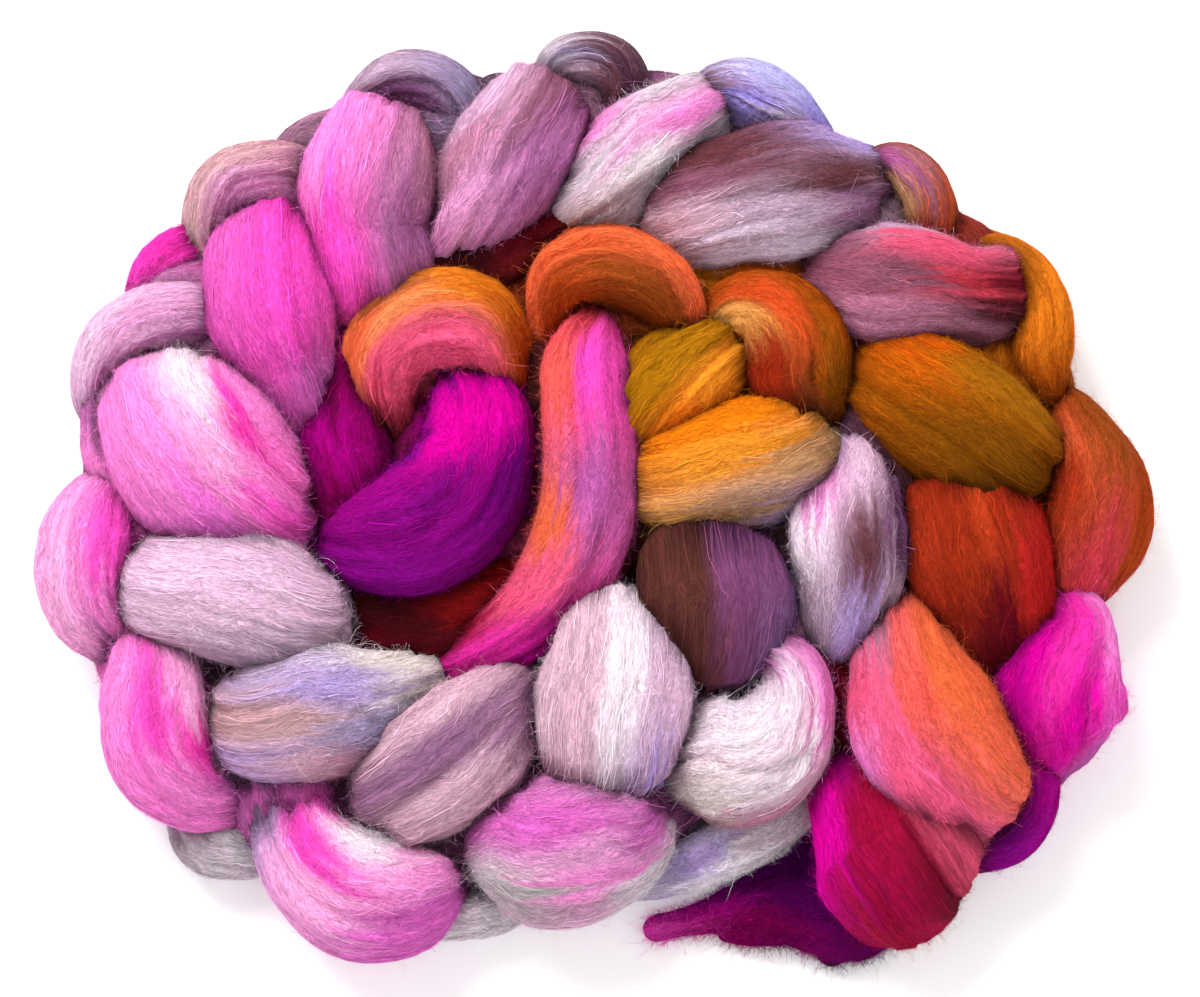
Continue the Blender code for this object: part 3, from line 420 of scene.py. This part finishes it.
def smooth_line(points, steps):
    """Rows at even distances along a smooth curve through the given x, y, z and more, and its length."""
    p = np.array(points, float)
    padded = np.vstack([2 * p[0] - p[1], p, 2 * p[-1] - p[-2]])
    t = (np.arange(steps) / steps)[:, None]
    spans = [0.5 * (2 * b + (c - a) * t + (2 * a - 5 * b + 4 * c - d) * t ** 2
                    + (3 * b - a - 3 * c + d) * t ** 3)
             for a, b, c, d in zip(padded, padded[1:], padded[2:], padded[3:])]
    dense = np.vstack([*spans, p[-1:]])
    gaps = np.linalg.norm(np.diff(dense[:, :3], axis=0), axis=1)
    along = np.concatenate([[0.0], np.cumsum(gaps)])
    even = np.linspace(0.0, along[-1], steps + 1)
    return np.stack([np.interp(even, along, column) for column in dense.T], 1), along[-1]


class Strand:
    """One fold of the wool: its centre line, its width and the surface round it."""

    def __init__(self, seed, name, depth, points, dyes=(), creases=()):
        self.name, self.depth = name, depth
        line, _ = smooth_line(points, FOLD_STEPS)
        first = np.append(unit(line[0, :3] - line[1, :3]), 0.0) * line[0, 3] * CAP_REACH
        last = np.append(unit(line[-1, :3] - line[-2, :3]), 0.0) * line[-1, 3] * CAP_REACH
        self.caps = (np.linalg.norm(first), np.linalg.norm(last))
        whole, self.length = smooth_line([line[0] + first, *line[::6], line[-1] + last], FOLD_STEPS)
        self.line, self.halves = whole[:, :3], whole[:, 3] / 2
        self.middle_half = self.halves.max()
        self.t = np.linspace(0.0, 1.0, FOLD_STEPS + 1)
        self.ahead = unit(np.gradient(self.line, axis=0))
        self.side = unit(np.cross(self.ahead, UP))
        self.rise = np.cross(self.side, self.ahead)
        own = np.random.default_rng(seed)
        self.waves = [(k, own.uniform(0, math.tau), own.uniform(0.2, 0.9), own.uniform(0.4, 1.3),
                       own.uniform(0, math.tau), own.normal(1.0, 0.3)) for k in RIPPLES]
        self.sways = [(size, pace * own.uniform(0.8, 1.25), own.uniform(0, math.tau))
                      for size, pace in SWAYS]
        self.streaks = [(k, own.uniform(0, math.tau), own.uniform(0.6, 1.8)) for k in STREAKS]
        self.partings = []
        for _ in range(own.integers(4, 8)):
            middle, reach = own.uniform(0.25, 0.75), own.uniform(0.2, 0.45)
            self.partings.append((middle - reach, middle + reach, own.uniform(0.1, 0.9) * np.pi,
                                  own.normal(0.0, 0.25), own.uniform(0.6, 1.7), own.uniform(0.7, 1.3)))
        self.dyes = [(linear(DYES[dye]), t / 100, s / 10) for dye, *places in dyes
                     for t, s in zip(places[::2], places[1::2])]
        self.creases = [(deep, width, np.array(places) / (100, 10)) for deep, width, *places in creases]

    def half_width(self, t):
        half = np.interp(t, self.t, self.halves)
        for end, cap in ((t, self.caps[0]), (1 - t, self.caps[1])):
            past = np.clip(1 - end * self.length / (2 * cap), 0, 1)
            half = half * (1 - past ** CAP_CURVE[0]) ** CAP_CURVE[1]
        return half

    def along_line(self, values, t):
        return np.stack([np.interp(t, self.t, values[:, i]) for i in range(3)], -1)

    def sway(self, t):
        """How far the fibres wander round the fold, as an angle."""
        return sum(size * np.sin(math.tau * pace * t + start) for size, pace, start in self.sways)

    def streak(self, t, turn):
        """Neighbouring fibres differ: from about -1 to 1, changing fast across and slowly along."""
        flow = turn + self.sway(t)
        total = sum(np.cos(k * flow + phase + drift * np.sin(math.tau * t + phase))
                    for k, phase, drift in self.streaks)
        return total / STREAK_RANGE

    def relief(self, t, turn):
        """How far the wool stands above or below a plain round surface."""
        flow = turn + self.sway(t)
        height = np.zeros(np.broadcast(t, turn).shape)
        for k, phase, drift, pace, start, strength in self.waves:
            size = RIPPLE_HEIGHT * strength * (WIDEST_RIPPLE / max(k, WIDEST_RIPPLE)) ** RIPPLE_FALL
            height += size * np.cos(k * flow + phase + drift * np.sin(math.tau * pace * t + start))
        half = np.maximum(self.half_width(t), 1.0)
        for begin, end, angle, slope, depth, width in self.partings:
            share = np.clip((t - begin) / (end - begin), 0.0, 1.0)
            off = (flow - angle - slope * (share - 0.5) + np.pi) % math.tau - np.pi
            height -= depth * np.sin(np.pi * share) * np.exp(-(off * half / width) ** 2)
        across = np.cos(turn)
        for depth, width, places in self.creases:
            near = np.full(height.shape, 1e9)
            for (t0, s0), (t1, s1) in zip(places, places[1:]):
                ex, ey = (t1 - t0) * self.length, (s1 - s0) * self.middle_half
                dx, dy = (t - t0) * self.length, (across - s0) * half
                share = np.clip((dx * ex + dy * ey) / (ex * ex + ey * ey), 0.0, 1.0)
                near = np.minimum(near, np.hypot(dx - share * ex, dy - share * ey))
            groove = depth * np.exp(-(near / width) ** 2)
            lip = 0.3 * depth * np.exp(-((near - 2.2 * width) / width) ** 2)
            height += np.where(np.sin(turn) > 0, lip - groove, 0.0)
        return height * np.clip(half / FULL_RELIEF, 0.0, 1.0)

    def surface(self, t, turn, lift=0.0):
        """Points, outward directions and fibre directions at t along and turn round the fold."""
        side, rise = self.along_line(self.side, t), self.along_line(self.rise, t)
        half = self.half_width(t)[..., None]
        c, s = np.cos(turn)[..., None], np.sin(turn)[..., None]
        out = unit(side * c * self.depth + rise * s)
        stand = (self.relief(t, turn) + lift)[..., None]
        points = self.along_line(self.line, t) + side * half * c + rise * half * self.depth * s + out * stand
        return points, out, self.along_line(self.ahead, t)

    def dye(self, t, across, streak=0.0):
        """The blend of dyes at t along and across the fold, as linear colours."""
        t = t + STREAK_CARRY[0] * streak / self.length
        across = across + STREAK_CARRY[1] * streak / self.middle_half
        total = np.zeros((*t.shape, 3))
        weights = np.zeros((*t.shape, 1))
        for colour, t0, s0 in self.dyes:
            far = (((t - t0) * self.length / DYE_REACH[0]) ** 2
                   + ((across - s0) * self.middle_half / DYE_REACH[1]) ** 2)
            weight = (1.0 / (DYE_MIDDLE + far) ** DYE_FALL)[..., None]
            total += weight * colour
            weights += weight
        return total / weights

    def nearness(self, points):
        """How far out of this fold each point is, where 1 is on its surface."""
        ratio = np.full(len(points), FAR)
        reach = self.middle_half * max(1.0, self.depth) * 1.6
        low, high = self.line.min(0) - reach, self.line.max(0) + reach
        near = np.flatnonzero(((points > low) & (points < high)).all(1))
        if len(near) == 0:
            return ratio
        offsets = points[near][:, None, :] - self.line[None, ::2, :]
        nearest = np.argmin((offsets ** 2).sum(2), 1)
        offset = offsets[np.arange(len(near)), nearest]
        at = nearest * 2
        half = np.maximum(self.half_width(self.t), 0.01)[at]
        a = (offset * self.side[at]).sum(1) / half
        b = (offset * self.rise[at]).sum(1) / (half * self.depth)
        ahead = np.abs((offset * self.ahead[at]).sum(1))
        ratio[near] = np.where(ahead < 2.5 * self.length / FOLD_STEPS, np.hypot(a, b), FAR)
        return ratio


def nearest_other(strand, points, crowd):
    """How far out of the nearest other fold each point is, where 1 is on that fold's surface."""
    nearest = np.full(len(points), FAR)
    for other in crowd:
        if other is not strand:
            nearest = np.minimum(nearest, other.nearness(points))
    return nearest


def crease_shade(nearest):
    """Painted shade: wool is darker where another fold lies close against it."""
    open_share = np.clip((nearest - TOUCHING) / CREASE_REACH, 0.0, 1.0) ** CREASE_CURVE
    return CREASE_DARK + (1.0 - CREASE_DARK) * open_share


def gaps(strand, point):
    """How far each step of a fold is from a point, seen from above."""
    return np.linalg.norm(strand.line[:, :2] - point[:2], axis=1)


def dyes_nearby(strand, stitches, places, shade):
    """A back loop takes the dyes of the stitches that it is the back of, at these places along it, darkened
    by the given painted shade.
    """
    dyes = []
    for t in places:
        here = strand.line[round(t * FOLD_STEPS)]
        nearest = min(stitches, key=lambda stitch: gaps(stitch, here)[::5].min())
        at = np.argmin(gaps(nearest, here)) / FOLD_STEPS
        dyes.append((nearest.dye(at, np.array(0.0)) * shade, t, 0.0))
    return dyes


def back_strands(stitches, seed):
    """The back loops under the braid and the strand inside it, as in the solid."""
    line, length = smooth_line([(x, y, BACK_HEIGHT) for x, y in BRAID_LINE], BRAID_STEPS)
    count = round(length / BACK_PITCH)
    reach = BACK_LENGTH / length / 2
    strands = []
    for index in range(count):
        middle = (index + 0.5) / count
        points = []
        for step, share in BACK_TAPER:
            at = min(max(round((middle + step * reach) * BRAID_STEPS), 1), BRAID_STEPS - 1)
            across = unit(np.cross(line[at + 1] - line[at - 1], UP))
            points.append((*(line[at] + across * BACK_SLANT * step), BACK_WIDTH * share))
        loop = Strand(seed + index, "back", BACK_DEPTH / BACK_WIDTH, points)
        loop.dyes = dyes_nearby(loop, stitches, (0.2, 0.5, 0.8), BACK_SHADE)
        strands.append(loop)
    points = [(x, y, CORE_HEIGHT, CORE_WIDTH) for x, y in BRAID_LINE]
    core = Strand(seed + count, "core", CORE_DEPTH / CORE_WIDTH, points)
    core.dyes = dyes_nearby(core, stitches, np.linspace(0.02, 0.98, CORE_DYES), CORE_SHADE)
    return [*strands, core]


def placed(points):
    """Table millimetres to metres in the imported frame, never under the floor."""
    moved = (points - np.array((*COIL_MIDDLE, 0.0))) * MM
    moved[..., 2] = np.maximum(moved[..., 2], FLOOR_GAP * MM)
    return moved


def linked(name, data):
    """A new object of this data, in the scene."""
    thing = bpy.data.objects.new(name, data)
    bpy.context.scene.collection.objects.link(thing)
    return thing


def joined(parts):
    """The columns of several parts as one: points, faces counted on through them, and the rest."""
    moved, offset = [], 0
    for points, faces, *rest in parts:
        moved.append((points, faces + offset, *rest))
        offset += len(points)
    return [np.vstack(column) for column in zip(*moved)]


def new_mesh(name, points, faces, colours, material, uvs=None):
    """An object of numpy points, equal-sided faces, point colours and, if given, corner places."""
    mesh = bpy.data.meshes.new(name)
    sides = faces.shape[1]
    mesh.vertices.add(len(points))
    mesh.vertices.foreach_set("co", points.astype(np.float32).ravel())
    mesh.loops.add(faces.size)
    mesh.loops.foreach_set("vertex_index", faces.astype(np.int32).ravel())
    mesh.polygons.add(len(faces))
    mesh.polygons.foreach_set("loop_start", np.arange(0, faces.size, sides, dtype=np.int32))
    # The dye attribute also carries the painted shade and painted highlights.
    dye = mesh.color_attributes.new("dye", "FLOAT_COLOR", "POINT")
    dye.data.foreach_set("color", np.hstack([colours, np.ones((len(colours), 1))]).astype(np.float32).ravel())
    if uvs is not None:
        mesh.uv_layers.new(name="along_and_round").data.foreach_set("uv", uvs.astype(np.float32).ravel())
    mesh.update(calc_edges=True)
    mesh.validate()
    mesh.shade_smooth()
    mesh.materials.append(material)
    return linked(name, mesh)


def turns_round(sides):
    """Angles round a fold that lie closer together on its top."""
    fine = np.linspace(-np.pi / 2, 1.5 * np.pi, 721)
    crowding = np.cumsum(1.0 + 0.6 * np.sin(fine))
    crowding = (crowding - crowding[0]) / (crowding[-1] - crowding[0])
    return np.interp(np.arange(sides + 1) / sides, crowding, fine)


def loft(strand, rings, sides, crowd):
    """Points, faces, colours and corner places of a whole fold."""
    t = 0.5 - 0.5 * np.cos(np.pi * np.arange(1, rings) / rings)
    turn = turns_round(sides)
    grid_t, grid_turn = np.meshgrid(t, turn[:-1], indexing="ij")
    points, _, _ = strand.surface(grid_t, grid_turn)
    streak = strand.streak(grid_t, grid_turn)
    # Painted shade darkens the wool where another fold lies close against it.
    shade = crease_shade(nearest_other(strand, points.reshape(-1, 3), crowd)).reshape(grid_t.shape)
    shade = shade * (1.0 + STREAK_SHADE * streak)
    colours = strand.dye(grid_t, np.cos(grid_turn), streak) * shade[..., None]
    row, col = (grid.ravel() for grid in
                np.meshgrid(np.arange(len(t) - 1), np.arange(sides), indexing="ij"))
    length = t * strand.length
    girth = turn * strand.middle_half * (1 + strand.depth) / 2
    drift = strand.sway(t) * strand.middle_half
    faces, places = [], []
    for corners in (((0, 0), (1, 0), (1, 1)), ((0, 0), (1, 1), (0, 1))):
        faces.append(np.stack([(row + r) * sides + (col + c) % sides for r, c in corners], -1))
        places.append(np.stack([np.stack([length[row + r], girth[col + c] + drift[row + r]], -1)
                                for r, c in corners], 1))
    points, colours = points.reshape(-1, 3), colours.reshape(-1, 3)
    around = np.arange(sides)
    for ring, flip in ((0, False), (len(t) - 1, True)):
        rim = ring * sides + around
        hub = np.full(sides, len(points))
        after = np.roll(rim, -1)
        faces.append(np.stack([hub, *((after, rim) if flip else (rim, after))], -1))
        places.append(np.zeros((sides, 3, 2)))
        points = np.vstack([points, points[rim].mean(0)])
        colours = np.vstack([colours, colours[rim].mean(0)])
    return points, np.vstack(faces), colours, np.vstack(places).reshape(-1, 2)


def lofted_piece(name, strands, crowd, rings, sides, material):
    """One piece made of the lofts of several folds."""
    points, faces, colours, uvs = joined([loft(strand, rings, sides, crowd) for strand in strands])
    return new_mesh(name, placed(points), faces, colours, material, uvs)


def seeds_on(strands, crowd, wanted):
    """Where fibres start, spread evenly over the wool that shows: (fold, t, turn, shade)."""
    areas = np.array([math.pi * s.middle_half * (1 + s.depth) * s.length for s in strands])
    tries = 6 * wanted
    found = []
    for number, strand in enumerate(strands):
        count = int(tries * areas[number] / areas.sum())
        t = rng.uniform(0.02, 0.98, count)
        turn = rng.uniform(-np.pi, np.pi, count)
        points, out, _ = strand.surface(t, turn)
        shown = (out[:, 2] > SHOWN_RISE) | (rng.random(count) < UNDER_SHARE)
        shown &= rng.random(count) < strand.half_width(t) / strand.middle_half
        shown &= points[:, 2] > LOWEST_FIBRE
        t, turn, points = t[shown], turn[shown], points[shown]
        nearest = nearest_other(strand, points, crowd)
        keep = nearest > TOUCHING
        found.append(np.stack([np.full(keep.sum(), number), t[keep], turn[keep],
                               crease_shade(nearest[keep])], 1))
    found = np.vstack(found)
    return found[np.sort(rng.permutation(len(found))[:wanted])]


def fibre_colour(strand, t, turn, shade):
    """Each fibre's own colour: the dye near it under the given painted shade, a little lighter or darker than
    its neighbours.
    """
    count = len(t)
    near_t = np.clip(t + rng.normal(0.0, 4.0, count) / strand.length, 0.0, 1.0)
    near_s = np.cos(turn) + rng.normal(0.0, 0.7, count) / strand.middle_half
    own = shade * np.exp(rng.normal(0.03, LIGHTNESS_SPREAD, count))
    return np.clip(strand.dye(near_t, near_s, strand.streak(t, turn)) * own[:, None], 0.0, 1.0)


def ribbons(lines, outs, widths, colours):
    """Points, faces and colours of thin ribbons that end in points."""
    count, steps, _ = lines.shape
    flat = unit(np.cross(outs, unit(np.gradient(lines, axis=1))))
    half = flat[:, :-1] * widths[:, None, None] / 2
    half[:, 0] *= 0.4
    rows = np.stack([lines[:, :-1] - half, lines[:, :-1] + half], 2).reshape(count, -1, 3)
    points = np.concatenate([rows, lines[:, -1:]], 1)
    per = points.shape[1]
    corners = [(2 * n + a, 2 * n + b, 2 * n + c)
               for n in range(steps - 2) for a, b, c in ((0, 1, 3), (0, 3, 2))]
    corners.append((per - 3, per - 2, per - 1))
    faces = (np.arange(count) * per)[:, None, None] + np.array(corners)[None]
    return points.reshape(-1, 3), faces.reshape(-1, 3), np.repeat(colours, per, 0)


def lying_fibres(strand, t, turn, shade):
    """Fibres that lie along the fold, crimped as wool is."""
    count, share = len(t), np.linspace(0.0, 1.0, LYING_STEPS)
    length = rng.uniform(*LYING_LENGTH, count)[:, None]
    ts = np.clip(t[:, None] + (share - 0.5) * length / strand.length, 0.01, 0.99)
    half = np.maximum(strand.half_width(ts), 3.0)
    slant = rng.normal(0.0, SLANT, count)[:, None] * length * (share - 0.5)
    crimp = rng.normal(0.0, CRIMP, count)[:, None] * np.sin(
        math.tau * (share * length / rng.uniform(*CRIMP_LENGTH, count)[:, None] + rng.random(count)[:, None]))
    turns = turn[:, None] + strand.sway(t)[:, None] - strand.sway(ts) + (slant + crimp) / half
    lift = rng.uniform(*LYING_LIFT, count)[:, None] * np.sin(np.pi * share) - 0.08
    lines, outs, _ = strand.surface(ts, turns, lift)
    outs = unit(outs + 0.25 * rng.normal(0.0, 1.0, (count, 1, 3)))
    widths = rng.uniform(*LYING_WIDTH, count)
    return ribbons(lines, outs, widths, fibre_colour(strand, t, turn, shade))


def curled_fibres(strand, t, turn, shade, steps, lengths, height, widths):
    """Fibres that leave the fold, curl and mostly come back towards it."""
    count, share = len(t), np.linspace(0.0, 1.0, steps)
    root, out, ahead = strand.surface(t, turn)
    sideways = unit(np.cross(out, ahead))
    heading = rng.normal(0.0, 0.9, count) + np.pi * (rng.random(count) < 0.5)
    run = ahead * np.cos(heading)[:, None] + sideways * np.sin(heading)[:, None]
    length = rng.uniform(*lengths, count)
    tall = np.minimum(height * rng.lognormal(0.0, 0.6, count), TALLEST)
    rise = tall[:, None] * np.sin(np.pi * share * rng.uniform(0.45, 0.95, count)[:, None])
    veer = 0.2 * length[:, None] * rng.normal(0.0, 1.0, count)[:, None] * share ** 2
    bend = -0.5 * (length[:, None] * share) ** 2 / (2 * strand.middle_half)
    lines = (root[:, None] + run[:, None] * (length[:, None] * share)[..., None]
             + out[:, None] * (rise + bend - 0.1)[..., None] + sideways[:, None] * veer[..., None])
    outs = np.repeat(unit(out + 0.6 * rng.normal(0.0, 1.0, out.shape))[:, None], steps, 1)
    # Standing fibres keep only part of the painted crease shade, and are painted lighter as they catch the
    # light.
    colours = fibre_colour(strand, t, turn, np.sqrt(shade) * 1.15)
    return ribbons(lines, outs, rng.uniform(*widths, count), colours)


def fibre_pieces(name, strands, crowd, wanted, groups, material):
    """Joined meshes of all the fibres on these folds."""
    batches = []
    for kind, count in wanted.items():
        seeds = seeds_on(strands, crowd, count)
        for number, strand in enumerate(strands):
            own = seeds[seeds[:, 0] == number][:, 1:].T
            if own.size and kind == "lying":
                batches.append(lying_fibres(strand, *own))
            elif own.size:
                batches.append(curled_fibres(strand, *own, *CURLS[kind]))
    pieces = []
    for group in range(groups):
        points, faces, colours = joined(batches[group::groups])
        label = f"{name}_{group + 1}" if groups > 1 else name
        pieces.append(new_mesh(label, placed(points), faces, colours, material))
    return pieces


def wool_material(name, streaked):
    """Matt wool with its dye, painted shade and painted highlights from the mesh, streaked along the fibres
    if it is streaked.
    """
    material = bpy.data.materials.new(name)
    material.use_nodes = True
    nodes, links = material.node_tree.nodes, material.node_tree.links
    shader = nodes["Principled BSDF"]
    shader.inputs["Roughness"].default_value = 0.9
    shader.inputs["Specular IOR Level"].default_value = 0.05
    dye = nodes.new("ShaderNodeVertexColor")
    dye.layer_name = "dye"
    if not streaked:
        links.new(dye.outputs["Color"], shader.inputs["Base Color"])
        return material

    def new_node(kind, **values):
        node = nodes.new("ShaderNode" + kind)
        for socket, value in values.items():
            node.inputs[socket.replace("_", " ")].default_value = value
        return node

    def noise_at(vector, along, around, detail, distortion=0.0):
        stretch = new_node("Mapping", Scale=(along, around, 1.0))
        noise = new_node("TexNoise", Scale=1.0, Detail=detail, Roughness=0.6, Distortion=distortion)
        links.new(vector, stretch.inputs["Vector"])
        links.new(stretch.outputs["Vector"], noise.inputs["Vector"])
        return noise.outputs["Fac"]

    def spread_to(value, low, high):
        spread = new_node("MapRange", From_Min=0.3, From_Max=0.7, To_Min=low, To_Max=high)
        links.new(value, spread.inputs["Value"])
        return spread.outputs["Result"]

    def together(kind, operation, first, second):
        node = new_node(kind)
        node.operation = operation
        links.new(first, node.inputs[0])
        links.new(second, node.inputs["Scale" if operation == "SCALE" else 1])
        return node.outputs[0]

    place = nodes.new("ShaderNodeUVMap")
    place.uv_map = "along_and_round"
    sideways = new_node("CombineXYZ")
    links.new(spread_to(noise_at(place.outputs["UV"], 0.22, 0.12, 3.0), -1.1, 1.1), sideways.inputs["Y"])
    strands = together("VectorMath", "ADD", place.outputs["UV"], sideways.outputs["Vector"])

    locks = noise_at(strands, 0.06, 0.8, 4.0)
    frizz = noise_at(strands, 0.40, 1.3, 4.0, 1.6)
    shade = together("Math", "MULTIPLY", spread_to(locks, 0.88, 1.10), spread_to(frizz, 0.58, 1.34))
    shaded = together("VectorMath", "SCALE", dye.outputs["Color"], shade)
    links.new(shaded, shader.inputs["Base Color"])
    bump = new_node("Bump", Strength=0.8, Distance=1.1 * MM)
    height = together("Math", "ADD", noise_at(strands, 0.10, 1.6, 3.0), frizz)
    links.new(height, bump.inputs["Height"])
    links.new(bump.outputs["Normal"], shader.inputs["Normal"])
    return material


def add_floor():
    """A plain pale floor."""
    mesh = bpy.data.meshes.new("floor")
    corners = [(x * FLOOR_SIZE, y * FLOOR_SIZE, 0) for x, y in ((-1, -1), (1, -1), (1, 1), (-1, 1))]
    mesh.from_pydata(corners, [], [(0, 1, 2, 3)])
    pale = bpy.data.materials.new("pale_floor")
    pale.use_nodes = True
    shader = pale.node_tree.nodes["Principled BSDF"]
    shader.inputs["Base Color"].default_value = FLOOR_COLOUR
    shader.inputs["Roughness"].default_value = 0.9
    shader.inputs["Emission Color"].default_value = WHITE
    shader.inputs["Emission Strength"].default_value = FLOOR_GLOW
    mesh.materials.append(pale)
    floor = linked("floor", mesh)


def add_camera():
    """The camera, at the photograph's angle."""
    camera = linked("camera", bpy.data.cameras.new("camera"))
    camera.data.sensor_width = SENSOR
    camera.data.lens = LENS
    tilt = math.radians(VIEW_TILT)
    camera.location = Vector(VIEW_TARGET) + Vector((0.0, -math.sin(tilt), math.cos(tilt))) * VIEW_DISTANCE
    camera.rotation_euler = (tilt, 0.0, 0.0)
    bpy.context.scene.camera = camera


def add_light():
    """Soft studio light: a sky that is paler low down, and two lamps."""
    world = bpy.data.worlds.new("studio")
    world.use_nodes = True
    nodes, links = world.node_tree.nodes, world.node_tree.links
    direction = nodes.new("ShaderNodeTexCoord")
    height = nodes.new("ShaderNodeSeparateXYZ")
    glow = nodes.new("ShaderNodeMapRange")
    glow.inputs["To Min"].default_value = SKY_SIDES
    glow.inputs["To Max"].default_value = SKY_TOP
    links.new(direction.outputs["Generated"], height.inputs["Vector"])
    links.new(height.outputs["Z"], glow.inputs["Value"])
    links.new(glow.outputs["Result"], nodes["Background"].inputs["Strength"])
    nodes["Background"].inputs["Color"].default_value = WHITE
    bpy.context.scene.world = world
    for name, place, size, power in LAMPS:
        light = bpy.data.lights.new(name, "AREA")
        light.size = size
        light.energy = power
        lamp = linked(name, light)
        lamp.location = place
        lamp.rotation_euler = (-Vector(place)).to_track_quat("-Z", "Y").to_euler()
    bpy.context.scene.view_settings.view_transform = "Standard"


stitches = [Strand(100 + n, *fold) for n, fold in enumerate(FOLDS)]
under = [Strand(300 + n, *fold) for n, fold in enumerate(UNDER_FOLDS)]
backs = back_strands(stitches, 500)
tail = [Strand(700 + n, *fold) for n, fold in enumerate(TAIL_FOLDS)]
coil = stitches + under + backs
legs = [strand for strand in stitches if strand.name.endswith("_leg")]
arcs = [strand for strand in stitches if not strand.name.endswith("_leg")]

wool = wool_material("dyed_wool", True)
fibre_wool = wool_material("wool_fibres", False)
coil_pieces = [
    lofted_piece("stitch_legs", legs, coil, STITCH_RINGS, STITCH_SIDES, wool),
    lofted_piece("stitch_arcs", arcs, coil, STITCH_RINGS, STITCH_SIDES, wool),
    lofted_piece("strand_behind", under + backs, coil, UNDER_RINGS, UNDER_SIDES, wool),
    *fibre_pieces("coil_fibres", coil, coil, COIL_FIBRES, FIBRE_GROUPS, fibre_wool),
]
tail_pieces = [
    lofted_piece("loose_end_wool", tail, coil, TAIL_RINGS, TAIL_SIDES, wool),
    *fibre_pieces("loose_end_fibres", tail, coil + tail, TAIL_FIBRES, 1, fibre_wool),
]
for piece in coil_pieces:
    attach(piece, "root")
    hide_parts("braided_coil")
for piece in tail_pieces:
    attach(piece, "root")
    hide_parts("loose_end")

add_floor()
add_camera()
add_light()
